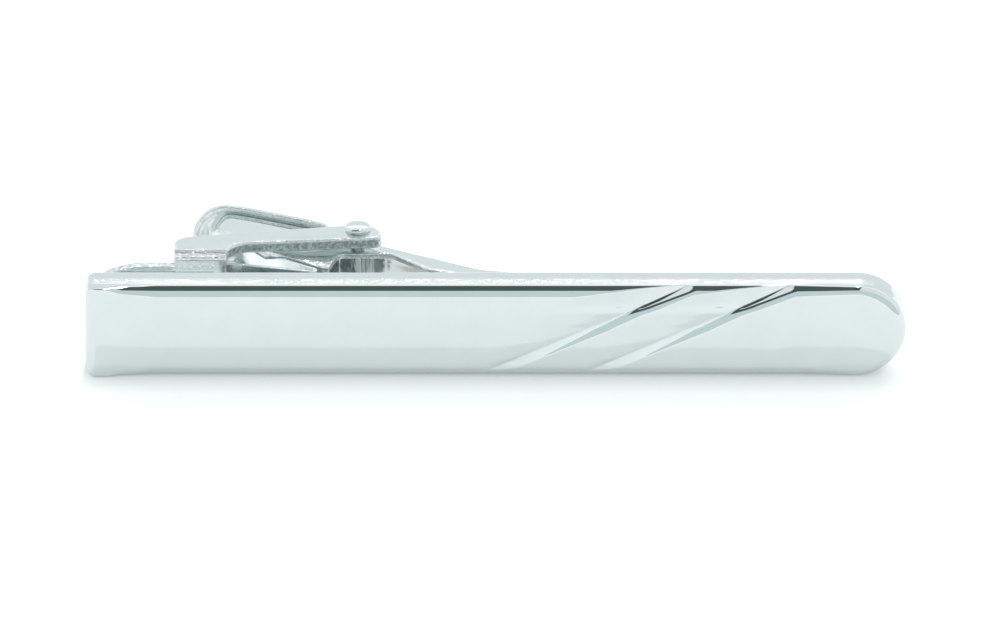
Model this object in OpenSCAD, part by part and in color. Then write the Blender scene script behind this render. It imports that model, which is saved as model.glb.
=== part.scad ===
// Tie clip with a sprung clasp behind a long bar that carries two diagonal grooves.
// The clip stands on the bar's lower edge: X runs along the bar, Y from front to back, Z up.
// Each piece is drawn from the bar's square end and the plane of its back, then in_row_frame moves it so
// that the origin is the middle of the flat band along the bar's lower edge.

/* [Bar] */
// Length of the bar
bar_l = 58; // [50:1:80]
// Width of the bar, which is its height as it stands
bar_w = 7; // [6.8:0.1:10]
// Thickness of the bar
bar_t = 3; // [2.4:0.1:5]
// Rounding of the long front edges
front_r = 1.1; // [0.4:0.1:1.4]
// Rounding of the long back edges
back_r = 0.5; // [0.2:0.1:0.8]
// Corner radius of the square end, seen from the front
corner_r = 0.7; // [0.3:0.1:1.2]
// Rounding of the square end's front edge
end_r = 0.8; // [0.3:0.1:1.2]

/* [Grooves] */
// Number of diagonal grooves
groove_count = 2; // [1:1:3]
// Distance from the square end to the first groove, along the upper edge
groove_x = 42.7; // [38:0.1:44]
// Distance between the grooves along the bar
groove_pitch = 7.15; // [5:0.05:8]
// Slope of the grooves across the bar, in degrees
groove_slope = 24.3; // [20:0.1:35]
// Depth of a groove at the upper edge
groove_depth = 0.75; // [0.3:0.05:1]
// Steepness of a groove's left flank, in degrees
groove_left = 42; // [30:1:60]
// Steepness of a groove's right flank, in degrees
groove_right = 27; // [20:1:45]

/* [Bracket] */
// Sheet thickness of the bracket
bracket_t = 0.85; // [0.6:0.05:1]
// Width across the outside of the two arms
bracket_w = 6.5; // [6.2:0.1:8]
// How much higher than the bar's middle the clasp sits
bracket_lift = 0.25; // [0:0.05:0.4]
// Outside radius of the bends between web and arms
bend_r = 1; // [1:0.05:1.5]
// Gap between the bar's end and the tip of the tongue
tongue_inset = 0.2; // [0:0.1:1]
// Length of the tongue
tongue_l = 6; // [4:0.1:8]
// Width of the tongue
tongue_w = 4.76; // [3.5:0.1:5.5]
// Length of the tongue's rounded tip
tip_l = 4; // [2:0.1:4]
// Length of the web that joins the arms
web_l = 3.75; // [3:0.05:5]
// Height of the web's corner at the arms' left end, above the web's front
heel_h = 3.2; // [2.8:0.1:3.6]
// Corner radius at the arms' left end
heel_r = 1.2; // [0.8:0.1:1.5]
// Height of an arm's near edge where it leaves the web, as a share of the pivot's height above the web's front
arm_low_share = 0.472; // [0.4:0.001:0.5]
// Slope of the arms' near edge, in degrees
arm_slope = 4.8; // [2:0.1:6]
// Radius in the corner between web and arm
notch_r = 1.7; // [1:0.1:2]
// How far an arm reaches past the pivot
arm_end = 1.7; // [1.4:0.05:2.5]
// Radius of the arm's far corner at the pivot end, as a share of the height of the arm's end
arm_far_share = 0.735; // [0.5:0.005:0.735]
// Radius of the arm's near corner at the pivot end, as a share of the height of the arm's end
arm_near_share = 0.272; // [0.12:0.002:0.272]
// Height of the arm's far edge above the pivot
arm_crown = 0.9; // [0.7:0.05:1.5]

/* [Seat] */
// Thickness of the seat, which is the gap between the bar and the bracket
seat_t = 2.15; // [1.9:0.05:2.4]
// Length of the seat
seat_l = 8.4; // [6:0.1:9]
// Width of the seat
seat_w = 4; // [3:0.1:4.5]
// Corner radius of the seat
seat_r = 1; // [0.3:0.1:1.5]

/* [Pivot] */
// Distance from the web's left edge to the pivot
pivot_reach = 13; // [12.5:0.1:15]
// Height of the pivot above the bar's back
pivot_h = 6.3; // [6:0.05:6.6]
// Radius of the rivet
rivet_r = 0.5; // [0.35:0.05:0.6]
// Radius of the rivet's heads
head_r = 0.92; // [0.75:0.01:1.1]
// Height of a head's straight rim
rim_h = 0.12; // [0.05:0.01:0.2]
// Height of a head's dome above its rim
dome_h = 0.38; // [0.2:0.01:0.6]
// Clearance of the rivet in the arms
arm_fit = 0.01; // [0.01:0.01:0.03]
// Clearance of the rivet in the lever
lever_fit = 0.05; // [0.02:0.01:0.1]

/* [Lever] */
// Sheet thickness of the lever
lever_t = 0.4; // [0.3:0.05:0.5]
// Width across the outside of the lever's cheeks and jaw
cheek_w = 4.2; // [3.9:0.1:4.3]
// Width of the thumb plate
thumb_w = 5.2; // [5:0.1:6.2]
// Distance from the pivot to the end of the thumb plate
thumb_l = 11.8; // [10:0.1:13]
// Length of the thumb plate's rounded end
thumb_round = 2.6; // [2:0.1:3.5]
// Height of the thumb plate's end above the pivot
thumb_rise = 5.65; // [5.2:0.05:6]
// Slope of the thumb plate between its bow and its waist, in degrees
thumb_slope = 23.3; // [21:0.1:25]
// Slope of the thumb plate's end, in degrees
end_slope = 6.8; // [4:0.1:10]
// Distance from the pivot to the bow in the thumb plate
bow_l = 8.55; // [8:0.05:9]
// Distance from the pivot to the waist, where the plate turns down to the pivot
waist_l = 3.6; // [3.2:0.05:4]
// Depth of the thumb plate's rim
tray_h = 0.55; // [0.45:0.05:0.9]
// Distance from the pivot to the tip of the jaw
jaw_l = 14.8; // [13.5:0.1:17]
// Slope of the jaw towards the bar, in degrees
jaw_slope = 28; // [27:0.5:32]
// Length of the toe that lies along the bar
toe_l = 6.1; // [5.5:0.1:8]
// Slope of the toe, in degrees
toe_slope = 10.5; // [6:0.1:11]
// Height of the toe's far side above the bar's back, at the tip
toe_h = 1.3; // [1.1:0.05:1.5]
// Where the plate turns down behind the pivot, to the left of the pivot
knuckle_l = 0.2; // [0:0.05:0.5]
// Height of the plate's far side above the pivot there
knuckle_h = 1.35; // [1.35:0.01:1.5]
// Where the jaw's slope begins, from the pivot
neck_l = 1.85; // [1.6:0.05:2.2]
// Number of teeth along each edge of the toe
tooth_count = 6; // [3:1:8]
// Height of the teeth
tooth_h = 0.45; // [0.2:0.05:0.5]
// Gap between the teeth and the bar at rest
tooth_gap = 0.1; // [0.05:0.01:0.2]

/* [Cheeks] */
// Distance from the thumb plate's end to the cheeks' closed end
cheek_inset = 1.15; // [1:0.05:1.4]
// Length of the rounding at the cheeks' closed end
cheek_round = 1.6; // [1.2:0.1:2]
// Height of the cheeks' near edge at their closed end, above the pivot
cheek_end_h = 4.2; // [3.8:0.1:4.4]
// Distance from the pivot to the corner in the cheeks' near edge
cheek_l = 9.2; // [8.8:0.1:9.5]
// Slope of the near edge from the foot to that corner, in degrees
cheek_slope = 34.2; // [33:0.1:36]
// Distance from the pivot to the foot of the cheeks
foot_l = 2.2; // [2.1:0.05:2.6]
// Width of the foot
foot_w = 0.3; // [0.2:0.05:0.5]
// Gap between the foot and the bar at rest
foot_gap = 2.45; // [2.2:0.05:2.5]
// Height of the arch over the tie, above the bar's back
arch_h = 4.65; // [4.5:0.05:4.75]
// How far the arch's top reaches to the left of the pivot
arch_left = 1.35; // [1.3:0.05:1.6]
// How far the arch's top reaches to the right of the pivot
arch_right = 2.45; // [2.2:0.05:2.6]
// Where the arch meets the jaw's edge, from the pivot
arch_foot = 5.1; // [4.8:0.1:5.5]
// Height of the jaw's edge there, above the bar's back
arch_foot_h = 2.1; // [1.8:0.05:2.3]

/* [Spring] */
// Thickness of the leaf spring
spring_t = 0.25; // [0.15:0.05:0.3]
// Width of the leaf spring's lower leg and loop
spring_w = 4.4; // [4:0.1:4.5]
// Width of the upper leg where it passes between the cheeks
leg_w = 3; // [2.7:0.1:3.1]
// Width of the upper leg at its end
leg_end_w = 2.6; // [2:0.1:3]
// Corner radius of the upper leg's end
leg_end_r = 0.8; // [0.3:0.05:0.9]
// Length of the leg that lies on the web
spring_seat = 2.7; // [2:0.1:3]
// Radius of the spring's loop, at the middle of the leaf
loop_r = 0.25; // [0.2:0.05:0.3]
// Distance from the pivot back to the middle of the loop
loop_back = 3.2; // [3.15:0.05:3.5]
// Height of the loop's middle above the bar's back
loop_h = 2.15; // [2:0.05:2.3]
// Slope of the spring's upper leg where it leaves the loop, in degrees
leg_slope = 31.8; // [25:0.1:40]
// Distance from the pivot to where the upper leg meets the thumb plate
leg_reach = 8.8; // [8.6:0.1:9]
// Clearance between the upper leg's end and the thumb plate
leg_gap = 0.1; // [0.05:0.01:0.2]

/* [Hidden] */
$fn = 64;
// Sides of a small round corner in an outline
corner_steps = 8;
// Sides of the long curves in an outline
curve_steps = 20;
// How far every cut runs past what it cuts
over = 1;
// Shares of the thumb plate's length from the pivot at which its taper starts and ends
taper_start_share = 0.2;
taper_end_share = 0.135;
// Share of the toe that carries teeth
tooth_share = 0.76;
// Radii along the lever's far side: bow, waist, knuckle, neck and toe
bow_r = 8;
waist_r = 4;
knuckle_r = 3;
neck_r = 3;
toe_r = 3;
// Radii along the cheeks' near side: left corner, foot, arch left, arch right, jaw edge
cheek_r = 2.5;
foot_r = 0.12;
arch_left_r = 0.7;
arch_right_r = 1.2;
jaw_edge_r = 2;
// Height of the jaw's edge where the toe begins
toe_edge_h = 0.95;
// Radius where the spring's lower leg bends down, and how far past the web's edge that bend is
spring_bend_r = 3;
spring_bend_out = 0.35;
// Heights above the bar's back between which the spring's upper leg narrows to pass the cheeks
leg_taper_h = 3.9;
leg_shoulder_h = 5.2;
// Sizes that follow
mid_z = bar_w/2 + bracket_lift;
edge_y = (bar_t - front_r + back_r)/2;
web_x = tongue_inset + tongue_l;
web_end = web_x + web_l;
web_back = seat_t + bracket_t;
pivot_x = web_x + pivot_reach;
arm_x = pivot_x + arm_end;
arm_far = pivot_h + arm_crown;
arm_root = seat_t + (pivot_h - seat_t)*arm_low_share;
arm_end_h = arm_far - arm_root - (arm_x - web_end)*tan(arm_slope);
arm_far_r = arm_end_h*arm_far_share;
arm_near_r = arm_end_h*arm_near_share;
tip_x = pivot_x + jaw_l;
toe_x = tip_x - toe_l;
toe_top = toe_h + toe_l*tan(toe_slope);
neck_x = pivot_x + neck_l;
neck_top = toe_top + (toe_x - neck_x)*tan(jaw_slope);
thumb_x = pivot_x - thumb_l;
thumb_y = pivot_h + thumb_rise;
bow_y = thumb_y - (thumb_l - bow_l)*tan(end_slope);
waist_y = bow_y - (bow_l - waist_l)*tan(thumb_slope);
cheek_x = thumb_x + cheek_inset;
cheek_low = foot_gap + (cheek_l - foot_l - foot_w/2)*tan(cheek_slope);
tooth_x = tip_x - toe_l*tooth_share;
tooth_pitch = (tip_x - tooth_x)/tooth_count;

// Direction helpers for outlines
function unit(v) = v/norm(v);
function left_of(v) = [-v[1], v[0]];
function turn(a) = a > 180 ? a - 360 : a < -180 ? a + 360 : a;
function angle_of(v) = atan2(v[1], v[0]);
// Points along an arc about c
function arc(c, r, from, to, steps) =
    [for (i = [0:steps]) c + r*[cos(from + (to - from)*i/steps), sin(from + (to - from)*i/steps)]];
// Points that round the corner b between a and c
function rounded(a, b, c, r) =
    let (
        u = unit(a - b),
        v = unit(c - b),
        half = acos(u*v)/2,
        centre = b + unit(u + v)*r/sin(half),
        from = angle_of(b + u*r/tan(half) - centre),
        to = angle_of(b + v*r/tan(half) - centre)
    )
    arc(centre, r, from, from + turn(to - from), corner_steps);
// An open path whose inner corners are rounded by radii
function soft_path(points, radii) =
    let (last = len(points) - 1)
    concat(
        [points[0]],
        [for (i = [1:last - 1]) each rounded(points[i - 1], points[i], points[i + 1], radii[i - 1])],
        [points[last]]
    );
// The same path moved to its left by a distance
function beside(path, distance) =
    let (last = len(path) - 1)
    [for (i = [0:last])
        let (
            before = unit(path[max(i, 1)] - path[max(i, 1) - 1]),
            after = unit(path[min(i, last - 1) + 1] - path[min(i, last - 1)]),
            middle = unit(before + after)
        )
        path[i] + left_of(middle)*distance/(middle*after)];
function reversed(path) = [for (i = [len(path) - 1:-1:0]) path[i]];
// Points along a cubic curve from just after a to d
function curve(a, b, c, d, steps) =
    [for (i = [1:steps])
        let (t = i/steps, s = 1 - t)
        a*s*s*s + 3*b*s*s*t + 3*c*s*t*t + d*t*t*t];

// Moves a piece from the drawing frame to the row frame
module in_row_frame() {
    translate([-bar_l/2, edge_y, 0])
        children();
}
// Stands a side view, drawn as X and Y, on its edge at height z
module side_view(z, height) {
    translate([0, 0, z])
        linear_extrude(height)
            children();
}
// A rectangle with round corners, from the origin
module soft_square(size, r) {
    translate([r, 0])
        square([size[0] - 2*r, size[1]]);
    translate([0, r])
        square([size[0], size[1] - 2*r]);
    for (x = [r, size[0] - r], y = [r, size[1] - r])
        translate([x, y])
            circle(r);
}

// Cross-section of the bar: front edges and back edges have their own radii
module bar_section() {
    translate([-bar_t, front_r])
        square([bar_t - back_r, bar_w - 2*front_r]);
    translate([front_r - bar_t, 0])
        square([bar_t - front_r - back_r, bar_w]);
    translate([-back_r, back_r])
        square([back_r, bar_w - 2*back_r]);
    for (z = [front_r, bar_w - front_r])
        translate([front_r - bar_t, z])
            circle(front_r);
    for (z = [back_r, bar_w - back_r])
        translate([-back_r, z])
            circle(back_r);
}
// Half of the section from the bar's middle outwards, with the front at the top
module half_section() {
    half_w = bar_w/2;
    square([half_w - front_r, bar_t]);
    translate([0, back_r])
        square([half_w, bar_t - back_r - front_r]);
    square([half_w - back_r, bar_t/2]);
    translate([half_w - front_r, bar_t - front_r])
        circle(front_r);
    translate([half_w - back_r, back_r])
        circle(back_r);
}
// The straight stretch, with the corners of the square end taken off
module bar_stretch() {
    stretch_l = bar_l - bar_w/2;
    intersection() {
        rotate([90, 0, 90])
            linear_extrude(stretch_l)
                bar_section();
        translate([0, over, 0])
            rotate([90, 0, 0])
                linear_extrude(bar_t + 2*over)
                    soft_square([stretch_l + 2*corner_r, bar_w], corner_r);
        side_view(-over, bar_w + 2*over)
            union() {
                translate([0, end_r - bar_t])
                    square([bar_l, bar_t]);
                translate([end_r, -bar_t])
                    square([bar_l, bar_t]);
                translate([end_r, end_r - bar_t])
                    circle(end_r);
            }
    }
}
module bar_round_end() {
    translate([bar_l - bar_w/2, 0, bar_w/2])
        rotate([90, 0, 0])
            rotate([0, 0, -90])
                rotate_extrude(angle = 180)
                    intersection() {
                        half_section();
                        square([bar_w/2, bar_t]);
                    }
}
// One groove: a wedge whose crease runs out at the lower edge
module groove_cut(x) {
    run = bar_w/sin(groove_slope);
    reach = groove_depth + over;
    translate([x, groove_depth - bar_t, bar_w])
        rotate([0, -groove_slope, 0])
            rotate([180, 0, 0])
                rotate([0, 90, 0])
                    rotate([atan(groove_depth/run), 0, 0])
                        translate([0, 0, -run - over])
                            linear_extrude(run + 3*over)
                                polygon([[0, 0], [reach/tan(groove_left), reach], [-reach/tan(groove_right), reach]]);
}
module front_bar() {
    color([0.80, 0.83, 0.84])
        in_row_frame()
            difference() {
                union() {
                    bar_stretch();
                    bar_round_end();
                }
                for (i = [0:groove_count - 1])
                    groove_cut(groove_x + i*groove_pitch);
            }
}

// The seat fills the gap between the bar's back and the bracket
module clasp_seat() {
    color([0.72, 0.75, 0.76])
        in_row_frame()
            translate([web_end - seat_l, seat_t, mid_z - seat_w/2])
                rotate([90, 0, 0])
                    linear_extrude(seat_t)
                        soft_square([seat_l, seat_w], seat_r);
}

// Side view of the bracket: web at the left, arms to the right
function near_edge_y(x) = arm_root + (x - web_end)*tan(arm_slope);
function heel_centre() = [web_x + heel_r, seat_t + heel_h - heel_r];
function crown_centre() = [arm_x - arm_far_r, arm_far - arm_far_r];
module bracket_side() {
    far_angle = angle_of(left_of(crown_centre() - heel_centre()));
    near_centre = [arm_x - arm_near_r, near_edge_y(arm_x - arm_near_r) + arm_near_r/cos(arm_slope)];
    notch_centre = [web_end + notch_r, near_edge_y(web_end + notch_r) - notch_r/cos(arm_slope)];
    polygon(concat(
        [[web_x, 0]],
        arc(heel_centre(), heel_r, 180, far_angle, corner_steps),
        arc(crown_centre(), arm_far_r, far_angle, 0, corner_steps),
        arc(near_centre, arm_near_r, 0, arm_slope - 90, corner_steps),
        arc(notch_centre, notch_r, arm_slope + 90, 180, corner_steps),
        [[web_end, 0]]
    ));
}
// Cross-section of the bracket's channel, open at the back
module channel_shape(inset) {
    r = bend_r - inset;
    width = bracket_w - 2*inset;
    depth = arm_far - seat_t + over;
    translate([seat_t + inset, mid_z - width/2])
        union() {
            soft_square([depth, width], r);
            translate([r, 0])
                square([depth, width]);
        }
}
// Outline of the tongue from the front: an oval tip and two straight edges
module tongue_outline() {
    oval = [for (i = [0:curve_steps])
        let (a = 90 + 180*i/curve_steps)
        [tip_l + tip_l*cos(a), tongue_w/2*sin(a)]];
    polygon(concat(oval, [[tongue_l + bend_r, -tongue_w/2], [tongue_l + bend_r, tongue_w/2]]));
}
module clasp_bracket() {
    color([0.76, 0.79, 0.80])
        in_row_frame()
            difference() {
                union() {
                    intersection() {
                        rotate([90, 0, 90])
                            translate([0, 0, web_x])
                                linear_extrude(arm_x - web_x)
                                    difference() {
                                        channel_shape(0);
                                        channel_shape(bracket_t);
                                    }
                        side_view(0, bar_w + over)
                            bracket_side();
                    }
                    translate([tongue_inset, web_back, mid_z])
                        rotate([90, 0, 0])
                            linear_extrude(bracket_t)
                                tongue_outline();
                }
                translate([pivot_x, pivot_h, -over])
                    cylinder(r = rivet_r + arm_fit, h = bar_w + 2*over);
            }
}

// Half profile of the rivet, from the clasp's middle upwards
module rivet_profile() {
    half_w = bracket_w/2;
    dome_r = (head_r*head_r + dome_h*dome_h)/(2*dome_h);
    square([rivet_r, half_w + rim_h]);
    translate([0, half_w])
        square([head_r, rim_h]);
    intersection() {
        translate([0, half_w + rim_h + dome_h - dome_r])
            circle(dome_r);
        translate([0, half_w + rim_h])
            square([head_r, dome_h]);
    }
}
module pivot_rivet() {
    color([0.84, 0.86, 0.87])
        in_row_frame()
            translate([pivot_x, pivot_h, mid_z]) {
                rotate_extrude()
                    rivet_profile();
                mirror([0, 0, 1])
                    rotate_extrude()
                        rivet_profile();
            }
}

// Far side of the lever from the thumb plate's end to the tip of the jaw
function lever_far() =
    soft_path(
        [
            [thumb_x, thumb_y],
            [pivot_x - bow_l, bow_y],
            [pivot_x - waist_l, waist_y],
            [pivot_x - knuckle_l, pivot_h + knuckle_h],
            [neck_x, neck_top],
            [toe_x, toe_top],
            [tip_x, toe_h]
        ],
        [bow_r, waist_r, knuckle_r, neck_r, toe_r]
    );
// Near side of the lever's cheeks and jaw, from the cheeks' closed end to the first tooth
function lever_near() =
    soft_path(
        [
            [cheek_x, pivot_h + cheek_end_h],
            [pivot_x - cheek_l, cheek_low],
            [pivot_x - foot_l - foot_w/2, foot_gap],
            [pivot_x - foot_l + foot_w/2, foot_gap],
            [pivot_x - arch_left, arch_h],
            [pivot_x + arch_right, arch_h],
            [pivot_x + arch_foot, arch_foot_h],
            [toe_x, toe_edge_h],
            [tooth_x, tooth_gap + tooth_h]
        ],
        [cheek_r, foot_r, foot_r, arch_left_r, arch_right_r, jaw_edge_r, jaw_edge_r]
    );
function tooth_points() =
    [for (i = [0:tooth_count - 1])
        each [
            [tooth_x + (i + 1/2)*tooth_pitch, tooth_gap],
            [tooth_x + (i + 1)*tooth_pitch, i < tooth_count - 1 ? tooth_gap + tooth_h : tooth_gap]
        ]];
// Side view of the cheeks and jaw as one filled outline
module jaw_side() {
    far = [for (p = lever_far()) if (p[0] > cheek_x) p];
    start = [cheek_x, thumb_y - cheek_inset*tan(end_slope)];
    polygon(concat([start], far, reversed(concat(lever_near(), tooth_points()))));
}
// The hollow under the lever's plate, as far as the wall at the tip
module jaw_hollow() {
    inner = beside(lever_far(), -lever_t);
    cut = [for (p = inner) if (p[0] < tip_x - lever_t) p];
    end = [tip_x - lever_t, toe_h + lever_t*tan(toe_slope) - lever_t/cos(toe_slope)];
    floor_y = -over;
    polygon(concat(cut, [end, [end[0], floor_y], [cut[0][0], floor_y]]));
}
// Raises an outline, drawn along and across the lever, from the bar's back past the thumb plate
module plan_view() {
    translate([0, 0, mid_z])
        rotate([-90, 0, 0])
            linear_extrude(thumb_y + over)
                children();
}
// Points of a half oval that closes an outline at its left
function oval_end(x, length, half_w) =
    [for (i = [0:curve_steps])
        let (a = 90 + 180*i/curve_steps)
        [x + length + length*cos(a), half_w*sin(a)]];
// Outline of the thumb plate, narrowing to the cheeks at its right end
module thumb_outline(inset, run) {
    half_w = thumb_w/2 - inset;
    neck_w = cheek_w/2 - inset;
    taper_x = pivot_x - thumb_l*taper_start_share;
    end_x = pivot_x - thumb_l*taper_end_share;
    polygon(concat(
        oval_end(thumb_x + inset, thumb_round - inset, half_w),
        [
            [taper_x, -half_w],
            [end_x, -neck_w],
            [end_x + run, -neck_w],
            [end_x + run, neck_w],
            [end_x, neck_w],
            [taper_x, half_w]
        ]
    ));
}
// Outline of the two cheeks with their closed end
module cheek_outline(inset) {
    half_w = cheek_w/2 - inset;
    polygon(concat(
        oval_end(cheek_x + inset, cheek_round - inset, half_w),
        [[tip_x + over, -half_w], [tip_x + over, half_w]]
    ));
}
// Side view of a layer of the plate behind its far side
module plate_side(depth) {
    far = [for (p = lever_far()) if (p[0] < pivot_x) p];
    polygon(concat(far, reversed(beside(far, -depth))));
}
module thumb_plate() {
    intersection() {
        side_view(mid_z - thumb_w/2, thumb_w)
            plate_side(lever_t);
        plan_view()
            thumb_outline(0, lever_t);
    }
    intersection() {
        side_view(mid_z - thumb_w/2, thumb_w)
            plate_side(tray_h);
        plan_view()
            difference() {
                thumb_outline(0, lever_t);
                thumb_outline(lever_t, lever_t + over);
            }
    }
}
module thumb_lever() {
    color([0.82, 0.85, 0.86])
        in_row_frame()
            difference() {
                union() {
                    thumb_plate();
                    difference() {
                        intersection() {
                            side_view(mid_z - cheek_w/2, cheek_w)
                                jaw_side();
                            plan_view()
                                cheek_outline(0);
                        }
                        intersection() {
                            side_view(mid_z - cheek_w/2, cheek_w)
                                jaw_hollow();
                            plan_view()
                                cheek_outline(lever_t);
                        }
                    }
                }
                translate([pivot_x, pivot_h, -over])
                    cylinder(r = rivet_r + lever_fit, h = bar_w + 2*over);
            }
}

// Middle line of the leaf spring: flat on the web, down to the loop and round it
function loop_centre() = [pivot_x - loop_back, loop_h];
function loop_top() = loop_centre() + loop_r*[sin(leg_slope), cos(leg_slope)];
function lower_line() =
    let (
        seat_y = web_back + spring_t/2,
        bend_x = web_end + spring_bend_out,
        low = loop_centre() - [0, loop_r]
    )
    concat(
        [[bend_x - spring_seat, seat_y]],
        rounded([bend_x - spring_seat, seat_y], [bend_x, seat_y], low, spring_bend_r),
        arc(loop_centre(), loop_r, -90, 90 - leg_slope, curve_steps)
    );
// Its end at the thumb plate, and the line from the loop up to there
function leg_end() =
    let (
        bow_drop = bow_r/cos((thumb_slope - end_slope)/2) - bow_r,
        far_y = thumb_y - (thumb_l - leg_reach)*tan(end_slope) - bow_drop
    )
    [pivot_x - leg_reach, far_y - lever_t/cos(end_slope) - leg_gap - spring_t];
function upper_line() =
    let (up = loop_top(), end = leg_end(), pull = norm(end - up)/2)
    concat(
        [loop_centre() + loop_r*[sin(leg_slope + 9), cos(leg_slope + 9)], up],
        curve(
            up,
            up + pull*[-cos(leg_slope), sin(leg_slope)],
            end - pull/2*[-sin(end_slope), cos(end_slope)],
            end,
            curve_steps
        )
    );
module leaf(line) {
    side_view(mid_z - spring_w/2, spring_w)
        polygon(concat(beside(line, spring_t/2), reversed(beside(line, -spring_t/2))));
}
// Outline of the upper leg seen along the bar: full width at the loop, narrow between the cheeks, round corners at the end
module leg_outline() {
    corner_y = leg_end()[1] + spring_t/2 - leg_end_r;
    corner_z = leg_end_w/2 - leg_end_r;
    polygon(concat(
        [[0, spring_w/2], [0, -spring_w/2], [leg_taper_h, -spring_w/2], [leg_shoulder_h, -leg_w/2]],
        arc([corner_y, -corner_z], leg_end_r, -90, 0, corner_steps),
        arc([corner_y, corner_z], leg_end_r, 0, 90, corner_steps),
        [[leg_shoulder_h, leg_w/2], [leg_taper_h, spring_w/2]]
    ));
}
module leaf_spring() {
    color([0.70, 0.73, 0.75])
        in_row_frame()
            union() {
                leaf(lower_line());
                intersection() {
                    leaf(upper_line());
                    translate([0, 0, mid_z])
                        rotate([90, 0, 90])
                            linear_extrude(pivot_x)
                                leg_outline();
                }
            }
}

front_bar();
clasp_seat();
clasp_bracket();
pivot_rivet();
thumb_lever();
leaf_spring();
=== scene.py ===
# Looks of the tie clip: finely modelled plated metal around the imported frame, on a pale floor.
# Sizes are in millimetres in the drawing frame: X from the bar's square end, D behind the bar's back, Z up.
import math

import bmesh
import bpy
import numpy as np
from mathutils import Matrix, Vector


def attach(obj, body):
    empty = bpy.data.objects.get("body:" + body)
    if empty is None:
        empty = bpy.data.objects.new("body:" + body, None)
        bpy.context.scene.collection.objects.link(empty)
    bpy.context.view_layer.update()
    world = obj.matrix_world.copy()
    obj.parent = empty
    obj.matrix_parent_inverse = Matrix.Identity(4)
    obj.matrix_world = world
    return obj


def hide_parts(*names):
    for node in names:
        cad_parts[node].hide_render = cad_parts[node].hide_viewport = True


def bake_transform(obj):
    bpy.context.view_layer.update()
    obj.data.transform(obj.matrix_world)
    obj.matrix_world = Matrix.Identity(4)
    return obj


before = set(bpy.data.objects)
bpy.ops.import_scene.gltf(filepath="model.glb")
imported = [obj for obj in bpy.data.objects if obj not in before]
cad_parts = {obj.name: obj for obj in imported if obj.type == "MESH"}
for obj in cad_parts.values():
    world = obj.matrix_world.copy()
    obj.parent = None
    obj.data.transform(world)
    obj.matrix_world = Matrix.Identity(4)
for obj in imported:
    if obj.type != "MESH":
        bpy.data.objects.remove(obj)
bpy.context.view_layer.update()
scene = bpy.context.scene

# Bar
BAR_L, BAR_W, BAR_T = 58.0, 7.0, 3.0
FRONT_R, BACK_R, CORNER_R, END_R = 0.8, 0.5, 0.7, 0.8
CROWN = 0.0365  # bow of the long upper and lower faces
EDGE_Y = 1.2  # the bar's back lies this far behind the frame's origin
GROOVE_X, GROOVE_PITCH, GROOVE_SLOPE = 42.7, 7.15, math.radians(24.3)
GROOVE_STEP = 0.01  # distance between the stored points of a groove's section
UPRIGHT_X = 52.3  # from here on the bar's sections turn upright again
# Bracket and seat
SHEET_T, BRACKET_W, BEND_R = 0.85, 6.5, 1.0
MID_Z = BAR_W / 2 + 0.25
SEAT_T, SEAT_L, SEAT_W, SEAT_R = 2.15, 8.4, 4.0, 1.0
WEB_X, WEB_END = 6.2, 9.95
WEB_BACK = SEAT_T + SHEET_T
TONGUE_X, TONGUE_W, TIP_L = 0.2, 4.76, 4.0
PIVOT_X, PIVOT_H = 19.2, 6.3
# Lever
LEVER_T, CHEEK_W, THUMB_W, THUMB_X, THUMB_D, THUMB_L = 0.4, 4.2, 5.2, 7.4, 11.95, 11.8
THUMB_TAPER, THUMB_END = PIVOT_X - THUMB_L * 0.2, PIVOT_X - THUMB_L * 0.135
END_SLOPE, THUMB_SLOPE, TRAY_H = math.radians(6.8), math.radians(23.3), 0.5
CHEEK_X, CHEEK_ROUND, CHEEK_SLOPE = 8.55, 1.6, math.radians(34.2)
TIP_X, TOE_X, TOE_H, TOE_SLOPE, JAW_SLOPE = 34.0, 27.9, 1.3, math.radians(10.5), math.radians(28)


# Mesh tools
def unit(v):
    v = np.asarray(v, float)
    return v / np.linalg.norm(v)


def arc(c, r, start, end, steps):
    """Points along an arc about c, angles in degrees."""
    a = np.radians(np.linspace(start, end, steps + 1))
    return np.stack([c[0] + r * np.cos(a), c[1] + r * np.sin(a)], 1)


def rounded(a, b, c, r, steps=16):
    """Points that round the corner b between a and c."""
    u, v = unit(np.subtract(a, b)), unit(np.subtract(c, b))
    half = math.acos(float(u @ v)) / 2
    centre = np.asarray(b, float) + unit(u + v) * r / math.sin(half)
    p, q = b + u * r / math.tan(half) - centre, b + v * r / math.tan(half) - centre
    start, end = math.degrees(math.atan2(p[1], p[0])), math.degrees(math.atan2(q[1], q[0]))
    turn = (end - start + 180) % 360 - 180
    return arc(centre, r, start, start + turn, steps)


def soft_path(points, radii):
    """A line through the points, each inner corner rounded by its radius."""
    parts = [np.array([points[0]], float)]
    for i, r in enumerate(radii, 1):
        parts.append(rounded(points[i - 1], points[i], points[i + 1], r))
    parts.append(np.array([points[-1]], float))
    return np.concatenate(parts)


def lengths(path):
    return np.concatenate([[0], np.cumsum(np.linalg.norm(np.diff(path, axis=0), axis=1))])


def along(path, s):
    """Points of a polyline at the distances s."""
    at = lengths(path)
    return np.stack([np.interp(s, at, path[:, i]) for i in range(path.shape[1])], -1)


def resample(path, step):
    total = lengths(path)[-1]
    return along(path, np.linspace(0, total, max(2, int(round(total / step)) + 1)))


def smooth(t):
    t = np.clip(t, 0, 1)
    return t * t * (3 - 2 * t)


def soft_max(a, b, k):
    h = np.clip(0.5 + 0.5 * (a - b) / k, 0, 1)
    return b * (1 - h) + a * h + k * h * (1 - h)


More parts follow.
